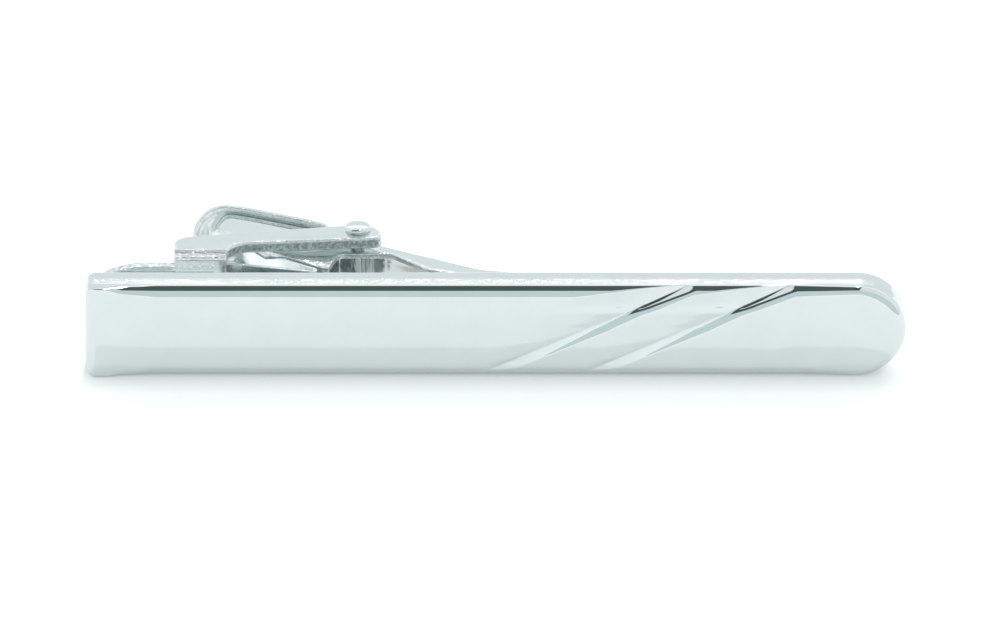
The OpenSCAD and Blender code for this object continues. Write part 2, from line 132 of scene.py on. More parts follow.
def add_piece(name, points, faces, kinds, materials, edge=None):
    """A closed piece from points in the drawing frame. edge is each point's wear, 0 to 1."""
    points = np.asarray(points, float).reshape(-1, 3)
    rows = (points + np.array([-BAR_L / 2, EDGE_Y, 0.0])) / 1000.0
    mesh = bpy.data.meshes.new(name)
    mesh.from_pydata(rows.tolist(), [], [list(f) for f in faces])
    for m in materials:
        mesh.materials.append(m)
    mesh.polygons.foreach_set("material_index", np.asarray(kinds, np.int32))
    wear = mesh.attributes.new("edge_wear", "FLOAT", "POINT")
    wear.data.foreach_set("value", np.asarray(edge if edge is not None else np.zeros(len(rows)), np.float32))
    bm = bmesh.new()
    bm.from_mesh(mesh)
    bmesh.ops.remove_doubles(bm, verts=bm.verts, dist=3e-7)
    bmesh.ops.dissolve_degenerate(bm, edges=bm.edges, dist=1e-8)
    bmesh.ops.recalc_face_normals(bm, faces=bm.faces)
    for f in bm.faces:
        f.smooth = True
    bm.to_mesh(mesh)
    bm.free()
    obj = bpy.data.objects.new(name, mesh)
    scene.collection.objects.link(obj)
    return obj


def even_shading(obj):
    m = obj.modifiers.new("even_shading", "WEIGHTED_NORMAL")
    m.keep_sharp = True
    m.weight = 60


def strips(rows, closed=False):
    """Quads between neighbouring rows of equal length. rows holds point numbers."""
    faces = []
    count = len(rows[0])
    for a, b in zip(rows, rows[1:]):
        for i in range(count if closed else count - 1):
            j = (i + 1) % count
            faces.append((a[i], a[j], b[j], b[i]))
    return faces


def outward(loop):
    """Miter normals of a closed counter-clockwise loop."""
    before = loop - np.roll(loop, 1, 0)
    after = np.roll(loop, -1, 0) - loop
    before /= np.linalg.norm(before, axis=1)[:, None]
    after /= np.linalg.norm(after, axis=1)[:, None]
    middle = before + after
    middle /= np.linalg.norm(middle, axis=1)[:, None]
    normal = np.stack([middle[:, 1], -middle[:, 0]], 1)
    straight = np.clip((middle * after).sum(1), 0.5, 1)
    return normal / straight[:, None]


def sheet(outline, thickness, edge_r, place, cuts=(), margin=0.1):
    """A sheet metal blank with rounded edges. place(x, t, w) puts a point of the blank, w below its
    first face. margin is the ring round each face that keeps the edge's wear off the face."""
    inner = outline - outward(outline) * (edge_r + margin)
    bm = bmesh.new()
    bm.faces.new([bm.verts.new((p[0], p[1], 0)) for p in inner])
    for c in cuts:
        whole = bm.verts[:] + bm.edges[:] + bm.faces[:]
        bmesh.ops.bisect_plane(bm, geom=whole, plane_co=(0, c, 0), plane_no=(0, 1, 0), dist=1e-5)
    bm.verts.index_update()
    flat = np.array([v.co[:2] for v in bm.verts])
    faces = [[v.index for v in f.verts] for f in bm.faces]
    follows = {}
    for f in bm.faces:
        for loop in f.loops:
            if loop.edge.is_boundary:
                follows[loop.vert.index] = loop.link_loop_next.vert.index
    rim = [next(iter(follows))]
    while follows[rim[-1]] != rim[0]:
        rim.append(follows[rim[-1]])
    bm.free()
    loop = flat[rim]
    area = (loop[:, 0] * np.roll(loop[:, 1], -1) - loop[:, 1] * np.roll(loop[:, 0], -1)).sum()
    if area < 0:
        rim.reverse()
        loop = flat[rim]
    normal = outward(loop)
    points = [place(flat[:, 0], flat[:, 1], 0.0), place(flat[:, 0], flat[:, 1], thickness)]
    n = len(flat)
    kinds = [0] * (2 * len(faces))
    faces = faces + [[i + n for i in reversed(f)] for f in faces]
    wear = [np.zeros(2 * n)]
    turns = np.radians(np.linspace(0, 90, 5))[1:]
    steps = [(margin, 0.0)] + [(margin + edge_r * math.sin(a), edge_r * (1 - math.cos(a))) for a in turns]
    walls = [(margin + edge_r, edge_r + (thickness - 2 * edge_r) * i / 4) for i in (1, 2, 3)]
    ring = steps + walls + [(o, thickness - w) for o, w in reversed(steps)]
    rows = [list(rim)]
    base = 2 * n
    for o, w in ring:
        p = loop + normal * o
        points.append(place(p[:, 0], p[:, 1], w))
        rows.append(list(range(base, base + len(rim))))
        wear.append(np.full(len(rim), 0.5 if o <= margin else 1.0))
        base += len(rim)
    rows.append([i + n for i in rim])
    sides = strips(rows, closed=True)
    side_kinds = []
    for i in range(len(rows) - 1):
        side_kinds += [1 if len(steps) <= i <= len(steps) + len(walls) else 0] * len(rim)
    worn = np.concatenate(wear)
    return np.concatenate(points), faces + sides, kinds + side_kinds, worn


def joined(parts):
    """Several shells of points, faces, kinds and wear as one."""
    points, faces, kinds, wear, base = [], [], [], [], 0
    for p, f, k, w in parts:
        points.append(p)
        faces += [[i + base for i in face] for face in f]
        kinds += k
        wear.append(w)
        base += len(p)
    return np.concatenate(points), faces, kinds, np.concatenate(wear)


# Materials
def socket(node, name, value):
    node.inputs[name].default_value = value


def noise(nodes, links, coords, scale, detail, rough=0.55, stretch=None):
    n = nodes.new("ShaderNodeTexNoise")
    socket(n, "Scale", scale)
    socket(n, "Detail", detail)
    socket(n, "Roughness", rough)
    if stretch:
        m = nodes.new("ShaderNodeMapping")
        socket(m, "Scale", stretch)
        links.new(coords, m.inputs["Vector"])
        coords = m.outputs["Vector"]
    links.new(coords, n.inputs["Vector"])
    return n.outputs["Fac"]


def mapped(nodes, links, value, from_min, from_max, to_min, to_max):
    n = nodes.new("ShaderNodeMapRange")
    for name, v in (("From Min", from_min), ("From Max", from_max), ("To Min", to_min), ("To Max", to_max)):
        socket(n, name, v)
    links.new(value, n.inputs["Value"])
    return n.outputs["Result"]


def mixed(nodes, links, factor, a, b):
    n = nodes.new("ShaderNodeMix")
    n.data_type = "RGBA"
    n.inputs[6].default_value = (*a, 1)
    n.inputs[7].default_value = (*b, 1)
    links.new(factor, n.inputs[0])
    return n.outputs[2]


def times(nodes, links, a, b):
    n = nodes.new("ShaderNodeMath")
    n.operation = "MULTIPLY"
    for i, v in enumerate((a, b)):
        if isinstance(v, (int, float)):
            n.inputs[i].default_value = v
        else:
            links.new(v, n.inputs[i])
    return n.outputs[0]


def plated(name, light, dark, rough, ripple, grain, pits, stretch=None):
    """Bright plating: faint ripples, fine grain, pits at worn edges, and a haze of polishing marks."""
    m = bpy.data.materials.new(name)
    m.use_nodes = True
    nodes, links = m.node_tree.nodes, m.node_tree.links
    shader = nodes["Principled BSDF"]
    socket(shader, "Metallic", 1.0)
    coords = nodes.new("ShaderNodeTexCoord").outputs["Object"]
    wear = nodes.new("ShaderNodeAttribute")
    wear.attribute_name = "edge_wear"
    worn = wear.outputs["Fac"]
    cloud = mapped(nodes, links, noise(nodes, links, coords, 450, 4), 0.35, 0.65, 0, 1)
    links.new(mixed(nodes, links, cloud, light, dark), shader.inputs["Base Color"])
    haze = noise(nodes, links, coords, 900, 6, 0.7, stretch or (0.25, 1, 1))
    links.new(mapped(nodes, links, haze, 0.3, 0.75, rough[0], rough[1]), shader.inputs["Roughness"])
    wave = nodes.new("ShaderNodeBump")
    socket(wave, "Distance", ripple)
    links.new(noise(nodes, links, coords, 700, 2, 0.4), wave.inputs["Height"])
    fine = nodes.new("ShaderNodeBump")
    socket(fine, "Distance", grain)
    links.new(noise(nodes, links, coords, 5200, 3, 0.6), fine.inputs["Height"])
    links.new(wave.outputs["Normal"], fine.inputs["Normal"])
    rough_edge = nodes.new("ShaderNodeBump")
    socket(rough_edge, "Distance", pits)
    spots = mapped(nodes, links, noise(nodes, links, coords, 2600, 4, 0.7), 0.42, 0.62, 0, 1)
    links.new(times(nodes, links, spots, worn), rough_edge.inputs["Height"])
    links.new(fine.outputs["Normal"], rough_edge.inputs["Normal"])
    links.new(rough_edge.outputs["Normal"], shader.inputs["Normal"])
    return m


def cut_edge(name, light, dark, depth, size):
    """The sheared edge of a sheet under plating: mottled, with short tears across the thickness."""
    m = bpy.data.materials.new(name)
    m.use_nodes = True
    nodes, links = m.node_tree.nodes, m.node_tree.links
    shader = nodes["Principled BSDF"]
    socket(shader, "Metallic", 1.0)
    coords = nodes.new("ShaderNodeTexCoord").outputs["Object"]
    spots = noise(nodes, links, coords, size, 5, 0.75)
    mottle = mapped(nodes, links, spots, 0.38, 0.62, 0, 1)
    links.new(mixed(nodes, links, mottle, dark, light), shader.inputs["Base Color"])
    links.new(mapped(nodes, links, spots, 0.35, 0.65, 0.42, 0.16), shader.inputs["Roughness"])
    tears = noise(nodes, links, coords, size * 1.6, 3, 0.6, (1, 1, 0.3))
    first = nodes.new("ShaderNodeBump")
    socket(first, "Distance", depth)
    links.new(spots, first.inputs["Height"])
    second = nodes.new("ShaderNodeBump")
    socket(second, "Distance", depth * 0.6)
    links.new(tears, second.inputs["Height"])
    links.new(first.outputs["Normal"], second.inputs["Normal"])
    links.new(second.outputs["Normal"], shader.inputs["Normal"])
    return m


BAR_LIGHT, BAR_DARK = (0.65, 0.69, 0.688), (0.632, 0.674, 0.672)
SHEET_LIGHT, SHEET_DARK, RIVET_DARK = (0.675, 0.714, 0.712), (0.64, 0.685, 0.685), (0.64, 0.68, 0.68)
bar_finish = plated("bar_plating", BAR_LIGHT, BAR_DARK, (0.015, 0.05), 2.0e-6, 6.0e-7, 1.3e-5)
bracket_finish = plated("bracket_plating", SHEET_LIGHT, SHEET_DARK, (0.03, 0.08), 6.0e-6, 1.0e-6, 3.0e-5)
lever_finish = plated("lever_plating", SHEET_LIGHT, SHEET_DARK, (0.03, 0.08), 5.0e-6, 1.0e-6, 1.6e-5)
rivet_finish = plated("rivet_plating", SHEET_LIGHT, RIVET_DARK, (0.03, 0.08), 4.0e-6, 1.5e-6, 6.0e-6)
# Painted light: a brightened copy of the plating for the clasp's inner faces, lighter than the outer plating
# so the shaded insides look lit.
inner_painted_light_finish = plated(
    "inner_plating_painted_light", (0.94, 0.955, 0.955), (0.88, 0.90, 0.90), (0.05, 0.1), 1.5e-6, 5.0e-7, 2.0e-5
)
# Painted light: the seat pad's plating and cut edge are nearly white, so the shaded gap behind the bar looks
# lit.
seat_painted_light_finish = plated(
    "seat_plating", (0.92, 0.94, 0.94), (0.84, 0.86, 0.86), (0.08, 0.2), 8.0e-6, 2.0e-6, 1.0e-5
)
# Painted light: the spring's plating is lighter than the other plating, so it looks lit deep inside the
# clasp.
spring_painted_light_finish = plated(
    "spring_plating", (0.86, 0.89, 0.89), (0.72, 0.76, 0.77), (0.05, 0.18), 5.0e-6, 1.4e-6, 8.0e-6,
    (1, 0.12, 0.12),
)
bracket_cut = cut_edge("bracket_cut_edge", (0.82, 0.86, 0.86), (0.34, 0.38, 0.38), 4.0e-5, 3300)
# Painted light: the lever's cut edge is much lighter than the bracket's, so the shaded edge looks lit.
lever_edge_painted_light = cut_edge("lever_cut_edge_painted_light", (0.95, 0.97, 0.97), (0.70, 0.73, 0.73), 2.0e-5, 4200)
seat_edge_painted_light = cut_edge("seat_cut_edge_painted_light", (0.97, 0.98, 0.98), (0.88, 0.90, 0.90), 5.0e-6, 2600)


# Making the bar
def groove_shape(z):
    """A groove's measures at a height: angle of its steep side, where that side starts and is full,
    the width of its straight wall, the radius of its rolled rim, and the slope and reach of its
    shallow side."""
    heights = [0, 0.7, 1.4, 2.0, 2.6, 3.85, 5.0, 5.5, 6.0, 7.0]
    steep = np.interp(z, heights, [2, 5, 12, 21, 28, 38, 45, 57, 59, 62])
    first = float(np.clip(0.158 * (5.3 - z), 0.015, 0.62))
    wide = float(np.interp(z, [0, 1.4, 2.0, 2.6, 3.85, 5.2, 7], [0.7, 0.64, 0.6, 0.53, 0.38, 0.08, 0.03]))
    wall = float(np.interp(z, [0, 2.6, 3.85, 5.0, 5.5, 6.0, 7], [0, 0, 0.03, 0.05, 0.08, 0.12, 0.2]))
    roll = float(np.interp(z, [0, 2.0, 3.85, 5.0, 7], [0.45, 0.45, 0.6, 0.72, 0.76]))
    down = np.interp(z, [0, 1.4, 2.6, 3.3, 4.6, 5.2, 5.7, 7], [34, 30, 15, 11, 14, 19, 13, 11])
    reach = float(np.interp(z, [0, 0.7, 1.4, 3.3, 5.3, 7], [0.35, 0.5, 0.75, 2.2, 2.8, 3.1]))
    return steep, first, wide, wall, roll, math.tan(math.radians(down)), reach


def groove_table():
    """Heights of a groove's section, for distances across it and for positions up the bar."""
    rows, at = np.linspace(0, BAR_W, 57), np.arange(-4.4, 2.2, GROOVE_STEP)
    table = []
    for z in rows:
        steep, first, wide, wall, roll, down, reach = groove_shape(z)
        top = math.radians(steep)
        s = np.clip(at, 0, None)
        end = wide + wall + roll * math.sin(top)
        low = np.interp(s, [0, first, wide], [math.radians(4), math.radians(min(10, steep)), top])
        tilt = np.where(s < wide + wall, low, np.arcsin(np.clip((end - s) / roll, 0, 1)))
        tilt = np.where((s > 0) & (s < end), tilt, 0)
        rise = np.cumsum(np.tan(tilt)) * GROOVE_STEP
        depth = rise[-1]
        u = np.clip((at + reach) / reach, 0, 1)
        slope = min(down * reach, 2.9 * depth)
        left = depth * (3 * u**2 - 2 * u**3) + slope * (u**3 - u**2)
        table.append(np.where(at < 0, left, depth - rise))
    return rows, at, np.array(table)


GROOVE_ROWS, GROOVE_AT, GROOVE_TABLE = groove_table()


def groove_floor(x, z):
    """How deep the grooves take the front face at x, z, from the front face backwards."""
    x, z = np.broadcast_arrays(np.asarray(x, float), np.asarray(z, float))
    drop = np.zeros(x.shape)
    row = np.clip(z / BAR_W * (len(GROOVE_ROWS) - 1), 0, len(GROOVE_ROWS) - 1.001)
    low = row.astype(int)
    part = row - low
    for k in range(2):
        start = GROOVE_X + k * GROOVE_PITCH - (BAR_W - z) / math.tan(GROOVE_SLOPE)
        s = (x - start) * math.sin(GROOVE_SLOPE)
        at = np.clip((s - GROOVE_AT[0]) / GROOVE_STEP, 0, len(GROOVE_AT) - 1.001)
        col = at.astype(int)
        share = at - col
        a = GROOVE_TABLE[low, col] * (1 - share) + GROOVE_TABLE[low, col + 1] * share
        b = GROOVE_TABLE[low + 1, col] * (1 - share) + GROOVE_TABLE[low + 1, col + 1] * share
        depth = a * (1 - part) + b * part
        drop = depth if k == 0 else soft_max(drop, depth, 0.6 * np.minimum(drop, depth) + 1e-5)
    return np.clip(drop, 0, None)


def edge_round(x):
    """Radius of the long front edges, which are rounded less near the bar's two ends."""
    return np.interp(x, [1.6, 2.3, 5.0, 50.5, 54.6], [0.1, 0.45, FRONT_R, FRONT_R, 0.5])


def half_section(r):
    """Half of the bar's section, from the middle of the front to the middle of the back: depth, and
    distance from the middle. r rounds the front edge."""
    half = BAR_W / 2
    flat = half - r
    a = np.radians(np.linspace(0, 90, 31))
    b = np.radians(np.linspace(0, 90, 9))
    depths = r - BAR_T + np.linspace(0, 1, 22)[1:-1] * (BAR_T - r - BACK_R)
    bow = np.interp(-depths, [1.35, 1.5, 1.95, 2.02, 2.2], [0, 0.005, 0.0317, 0.0334, CROWN])
    front = [(-BAR_T, t) for t in np.linspace(0, flat, 36)[:-1]]
    edge = [(r * (1 - math.cos(t)) - BAR_T, flat + (r - CROWN) * math.sin(t)) for t in a]
    band = [(d, half - q) for d, q in zip(depths, bow)]
    back = [(-BACK_R + BACK_R * math.sin(t), half - BACK_R + BACK_R * math.cos(t)) for t in b]
    rest = [(0.0, t) for t in np.linspace(half - BACK_R, 0, 8)[1:]]
    return np.array(front + edge + band + back + rest)


def bar_points(x, depth, z):
    """Depths of the bar's surface after the grooves are carved and the square end's two edges are rounded."""
    low = groove_floor(x, z) - BAR_T
    blend = 0.12 * np.clip((low + BAR_T) / 0.3, 0, 1) + 1e-4
    depth = np.where((depth < -1.0) & (low > -BAR_T + 1e-4), soft_max(depth, low, blend), depth)
    t = np.clip(END_R - x, 0, END_R)
    depth = np.maximum(depth, END_R - BAR_T - np.sqrt(END_R**2 - t**2))
    back_soft = 0.2
    t = np.clip(back_soft - x, 0, back_soft)
    return np.minimum(depth, np.sqrt(back_soft**2 - t**2) - back_soft)


def bar_columns():
    """Places of the bar's sections along its upper edge, closest together in the grooves."""
    step = 0.005
    fine = np.arange(0, BAR_L - BAR_W / 2, step)
    density = np.full(fine.shape, 1 / 0.5)
    for k in range(2):
        s = (fine - GROOVE_X - k * GROOVE_PITCH) * math.sin(GROOVE_SLOPE)
        for low, high, spacing in ((-3.9, 1.9, 0.3), (-0.4, 1.1, 0.07), (-0.03, 0.36, 0.035)):
            density = np.maximum(density, np.where((s > low) & (s < high), 1 / spacing, 0))
    density = np.maximum(density, np.where(fine > UPRIGHT_X, 1 / 0.05, 0))
    count = np.concatenate([[0], np.cumsum(density[:-1] * step)])
    inner = np.interp(np.arange(1, int(count[-1])), count, fine)
    inner = inner[inner > END_R + 0.2]
    ends = END_R * (1 - np.cos(np.radians(np.linspace(0, 90, 13))))
    return np.concatenate([ends, inner, [BAR_L - BAR_W / 2]])


def make_bar():
    """The bar. Its sections are square to it at the ends, and lean along the grooves between them."""
    columns = bar_columns()
    skew = smooth((columns - 4) / 34) * (1 - smooth((columns - UPRIGHT_X) / 2.2))
    cot = 1 / math.tan(GROOVE_SLOPE)
    points, rows = [], []
    for u, k in zip(columns, skew):
        upper = half_section(float(edge_round(u)))
        lower = half_section(float(edge_round(u - k * BAR_W * cot)))
        ring = np.concatenate([upper, lower[::-1][1:-1] * [1, -1]])
        t = max(CORNER_R - u, 0)
        half = BAR_W / 2 - CORNER_R + math.sqrt(CORNER_R**2 - t**2)
        z = BAR_W / 2 + ring[:, 1] * half / (BAR_W / 2)
        x = u - k * (BAR_W - z) * cot
        d = bar_points(x, ring[:, 0], z)
        rows.append(list(range(len(points) * len(ring), (len(points) + 1) * len(ring))))
        points.append(np.stack([x, d, z], 1))
    faces = strips(rows, closed=True) + [list(rows[0])]
    base = len(points) * len(ring)
    cap = []
    for i, b in enumerate(np.radians(np.linspace(90, -90, 73))):
        section = half_section(float(np.interp(abs(math.degrees(b)), [40, 90], [FRONT_R, edge_round(54.5)])))
        x = BAR_L - BAR_W / 2 + section[:, 1] * math.cos(b)
        z = BAR_W / 2 + section[:, 1] * math.sin(b)
        cap.append(np.stack([x, bar_points(x, section[:, 0], z), z], 1))
    cap_rows = [list(range(base + i * len(section), base + (i + 1) * len(section))) for i in range(len(cap))]
    faces += strips(cap_rows)
    points = np.concatenate(points + cap)
    wear = smooth((1 - np.abs(points[:, 1] + 1.68) / 0.42) * 1.6) * smooth((points[:, 2] - 6.72) / 0.15)
    return add_piece("bar_body", points, faces, [0] * len(faces), [bar_finish], wear)


bar = make_bar()
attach(bar, "clip")
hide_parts("front_bar")


# Making the seat and the bracket
def flat_at(first):
    """Places a blank that lies across the bar's back, its first face at depth first."""
    return lambda x, t, w: np.stack([x, first + w + 0 * x, MID_Z + t], 1)


def rounded_box(x0, x1, half, r):
    return np.concatenate([
        arc((x1 - r, half - r), r, 0, 90, 10), arc((x0 + r, half - r), r, 90, 180, 10),
        arc((x0 + r, r - half), r, 180, 270, 10), arc((x1 - r, r - half), r, 270, 360, 10),
    ])


seat_outline = rounded_box(WEB_END - SEAT_L, WEB_END, SEAT_W / 2, SEAT_R)
seat_shell = sheet(seat_outline, SEAT_T, 0.08, flat_at(0.0))
# Painted light: the seat takes the nearly white plating and cut edge.
seat = add_piece("seat_pad", *seat_shell[:3], [seat_painted_light_finish, seat_edge_painted_light])
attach(seat, "clip")
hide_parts("clasp_seat")

FLAT = BRACKET_W / 2 - BEND_R
BENT = FLAT + BEND_R * math.pi / 2


def bend_path():
    """Outside and inside of a bend, from the web to the arm: depth, and distance from the middle.
    The outside has a tight corner, a flat ledge and a small step."""
    side, ledge, inner_side, step = BRACKET_W / 2, BRACKET_W / 2 - 0.13, BRACKET_W / 2 - SHEET_T, 0.012
    end = SEAT_T + BEND_R
    corners = [(SEAT_T, FLAT), (SEAT_T, ledge), (SEAT_T + 0.86, ledge), (SEAT_T + 0.95, side), (end, side)]
    inner = [(WEB_BACK, FLAT), (WEB_BACK, inner_side), (end, inner_side)]
    return resample(soft_path(corners, [0.24, 0.06, 0.04]), step), resample(soft_path(inner, [0.14]), step)


BEND_OUT, BEND_IN = bend_path()


def channel(x, t, w):
    """Bends a blank into the bracket's channel: web, two bends and two arms."""
    side, t = np.sign(t), np.abs(t)
    u = np.clip((t - FLAT) / (BENT - FLAT), 0, 1)
    out = along(BEND_OUT, u * lengths(BEND_OUT)[-1])
    inner = along(BEND_IN, u * lengths(BEND_IN)[-1])
    share = np.asarray(w / SHEET_T * np.ones_like(t))[:, None]
    p = out * (1 - share) + inner * share
    d = p[:, 0] + np.clip(t - BENT, 0, None)
    z = np.where(t < FLAT, t, p[:, 1])
    return np.stack([x, d, MID_Z + side * z], 1)


def blank_t(d):
    """Distance from the middle of the blank to a depth on the bracket's outside."""
    d = np.asarray(d, float)
    deeper = np.concatenate([[True], np.diff(np.maximum.accumulate(BEND_OUT[:, 0])) > 1e-6])
    at = lengths(BEND_OUT)[deeper]
    bend = FLAT + (BENT - FLAT) * np.interp(d, BEND_OUT[deeper, 0], at) / at[-1]
    return np.where(d > SEAT_T + BEND_R, BENT + d - SEAT_T - BEND_R, bend)


def channel_outline():
    """Outline of the bracket's flat blank, without its tongue."""
    slope, heel_r, far_r, near_r, notch_r = math.radians(4.8), 1.2, 1.6, 0.6, 1.7
    arm_x, arm_far = PIVOT_X + 1.7, PIVOT_H + 0.9
    heel = np.array([WEB_X + heel_r, SEAT_T + 3.2 - heel_r])
    crown = np.array([arm_x - far_r, arm_far - far_r])
    run = crown - heel
    lean = math.degrees(math.atan2(run[0], -run[1]))

    def near(x):
        return SEAT_T + 1.96 + (x - WEB_END) * math.tan(slope)

    tip = (arm_x - near_r, near(arm_x - near_r) + near_r / math.cos(slope))
    notch = (WEB_END + notch_r, near(WEB_END + notch_r) - notch_r / math.cos(slope))
    side = np.concatenate([
        arc(heel, heel_r, 180, lean, 14),
        arc(crown, far_r, lean, 0, 16),
        arc(tip, near_r, 0, 4.8 - 90, 10),
        arc(notch, notch_r, 94.8, 180, 20),
    ])
    up = np.stack([side[:, 0], blank_t(side[:, 1])], 1)
    up = resample(np.concatenate([up, [[WEB_END, FLAT * 0.4]]]), 0.12)
    up = np.concatenate([[[WEB_X, t] for t in np.arange(0.1, up[0, 1] - 0.05, 0.15)], up])
    return np.concatenate([up * [1, -1], up[::-1]])


def folded_channel():
    """The bent part of the bracket. Its folds are worn, and its far edges hardly."""
    bends = [s * (FLAT + (BENT - FLAT) * i / 60) for i in range(61) for s in (-1, 1)]
    points, faces, kinds, wear = sheet(channel_outline(), SHEET_T, 0.17, channel, bends)
    x, d, z = points.T
    fold = (np.abs(z - MID_Z) > BRACKET_W / 2 - 0.3) & (d < SEAT_T + 1.05)
    wear[fold] = np.maximum(wear[fold], 0.8)
    far_edge = np.interp(x, [WEB_X, 7.4, 19.3, 20.9], [4.1, 5.3, 7.2, 7.2]) - 0.35
    wear[d > far_edge] *= 0.12
    return points, faces, kinds, wear


def tongue_outline():
    """Outline of the tongue's blank: a half oval, two sides in short steps, and an end in the web."""
    a = np.radians(np.linspace(90, 270, 49))
    oval = np.stack([TONGUE_X + TIP_L + TIP_L * np.cos(a), TONGUE_W / 2 * np.sin(a)], 1)
    end = WEB_X + 1.0
    low, high = [end, -TONGUE_W / 2], [end, TONGUE_W / 2]
    side = resample(np.array([oval[-1], low]), 0.1)[1:-4]
    other = resample(np.array([high, oval[0]]), 0.1)[4:-1]
    return np.concatenate([oval, side, [low, high], other])


def tongue_at(x, t, w):
    """The tongue lies in the web's plane, and is a hair thinner where it runs into the web."""
    inside = smooth((x - WEB_X + 0.05) / 0.1)
    return np.stack([x, SEAT_T + w + inside * 0.03 * (1 - 2 * w / SHEET_T), MID_Z + t], 1)


points, faces, kinds, wear = joined([folded_channel(), sheet(tongue_outline(), SHEET_T, 0.15, tongue_at)])
# Painted light: faces inside the channel and the web's front (kind 2) take the brightened inner plating, so
# these shaded faces look lit.
for i, f in enumerate(faces):
    x, d, z = points[f[0]]
    inside = d < SEAT_T + 0.05 or abs(z - MID_Z) < BRACKET_W / 2 - SHEET_T + 0.05
    if kinds[i] == 0 and x > WEB_X - 0.1 and inside:
        kinds[i] = 2
bracket = add_piece("bracket_sheet", points, faces, kinds, [bracket_finish, bracket_cut, inner_painted_light_finish], wear)
even_shading(bracket)
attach(bracket, "clip")
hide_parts("clasp_bracket")


# Making the rivet
def make_rivet():
    """The pin and its two heads: a straight rim, a rounded shoulder and a slightly domed top."""
    half, r, head, rim, dome, bow, top = BRACKET_W / 2, 0.5, 0.92, 0.12, 0.3, 0.06, 0.78
    profile = [(r, 0.0), (r, half - 0.05), (r, half)]
    profile += [(head - 0.04, half), (head, half + 0.03), (head, half + rim)]
    for a in np.radians(np.linspace(85, 5, 12)):
        profile.append((head * (top + (1 - top) * math.sin(a)), half + rim + (dome - bow) * math.cos(a)))
    for q in np.linspace(0.74, 0.02, 10):
        profile.append((head * q, half + rim + dome - bow * (q / top) ** 2))
    profile = np.array(profile)
    spin = np.linspace(0, 2 * math.pi, 65)[:-1]
    points, faces, wear = [], [], []
    for side in (1, -1):
        rows = []
        for radius, z in profile:
            rows.append(list(range(len(points), len(points) + len(spin))))
            for a in spin:
                x, d = PIVOT_X + radius * math.cos(a), PIVOT_H + radius * math.sin(a)
                points.append((x, d, MID_Z + side * z))
            wear += [0.5 if abs(radius - head) < 0.1 else 0.1] * len(spin)
        faces += strips(rows, closed=True)
    return add_piece("rivet_body", points, faces, [0] * len(faces), [rivet_finish], wear)


rivet = make_rivet()
even_shading(rivet)
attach(rivet, "clip")
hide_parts("pivot_rivet")


# Making the lever
def lever_paths():
    """Side view of the lever: its far side, and its near edge with the jaw's teeth. Each point is a
    place along the bar, and a depth."""
    toe_top = TOE_H + (TIP_X - TOE_X) * math.tan(TOE_SLOPE)
    neck_x = PIVOT_X + 1.85
    neck_top = toe_top + (TOE_X - neck_x) * math.tan(JAW_SLOPE)
    bow_x, waist_x = PIVOT_X - 8.55, PIVOT_X - 3.6
    bow_d = THUMB_D - (bow_x - THUMB_X) * math.tan(END_SLOPE)
    waist_d = bow_d - (waist_x - bow_x) * math.tan(THUMB_SLOPE)
    far = soft_path(
        [
            (THUMB_X, THUMB_D), (bow_x, bow_d), (waist_x, waist_d), (PIVOT_X - 0.2, PIVOT_H + 1.35),
            (neck_x, neck_top), (TOE_X, toe_top), (TIP_X, TOE_H),
        ],
        [8.0, 4.0, 3.0, 3.0, 3.0],
    )
    foot_x, foot_d = PIVOT_X - 2.35, 2.45
    corner_x = PIVOT_X - 9.2
    tooth_x = TIP_X - 6.1 * 0.76
    near = soft_path(
        [
            (CHEEK_X, PIVOT_H + 4.2), (corner_x, foot_d + (foot_x - corner_x) * math.tan(CHEEK_SLOPE)),
            (foot_x, foot_d), (foot_x + 0.3, foot_d), (PIVOT_X - 1.35, 4.65), (PIVOT_X + 2.45, 4.65),
            (PIVOT_X + 5.1, 2.1), (TOE_X, 0.95), (tooth_x, 0.55),
        ],
        [2.5, 0.12, 0.12, 0.7, 1.2, 2.0, 2.0],
    )
    pitch = (TIP_X - tooth_x) / 6
    teeth = [(tooth_x + i * pitch / 2, 0.55 if i % 2 == 0 else 0.1) for i in range(1, 12)] + [(TIP_X, 0.1)]
    return far, np.concatenate([near, teeth])


FAR, NEAR = lever_paths()


def far_d(x, w=0.0):
    """Depth of the lever's layer that lies w below its far side."""
    x = np.asarray(x, float)
    rise = (np.interp(x + 0.05, FAR[:, 0], FAR[:, 1]) - np.interp(x - 0.05, FAR[:, 0], FAR[:, 1])) / 0.1
    rise = np.where((x < THUMB_X + 0.06) | (x > TIP_X - 0.06), 2 * rise, rise)
    return np.interp(x, FAR[:, 0], FAR[:, 1]) - w * np.sqrt(1 + rise**2)


def near_d(x):
    return np.interp(x, NEAR[:, 0], NEAR[:, 1])


def oval_end(x, length, half, steps):
    """Points and plan normals of a quarter oval, from the tip to the full half width."""
    a = np.radians(np.linspace(180, 90, steps + 1))
    points = np.stack([x + length + length * np.cos(a), half * np.sin(a)], 1)
    normals = np.stack([np.cos(a) * half, np.sin(a) * length], 1)
    return points, normals / np.linalg.norm(normals, axis=1)[:, None]


def loft(outline, spines, section):
    """Half sections from the middle line out to each outline point, mirrored, as one closed shell."""
    rows = [section(p, n, sx) for (p, n), sx in zip(outline, spines)]
    half = np.array([[q[:3] for q in r] for r in rows])
    wear = np.array([[q[3] for q in r] for r in rows])
    kind = [q[4] for q in rows[0]]
    count, many = half.shape[:2]
    other = half.copy()
    other[:, :, 2] = 2 * MID_Z - other[:, :, 2]
    points = np.concatenate([half.reshape(-1, 3), other.reshape(-1, 3)])
    numbers = [list(range(i * many, (i + 1) * many)) for i in range(2 * count)]
    faces = strips(numbers[:count]) + strips(numbers[count:])
    kinds = [kind[i % (many - 1)] for i in range(len(faces))]
    return points, faces, kinds, np.concatenate([wear.ravel()] * 2), (numbers[count - 1], numbers[-1])


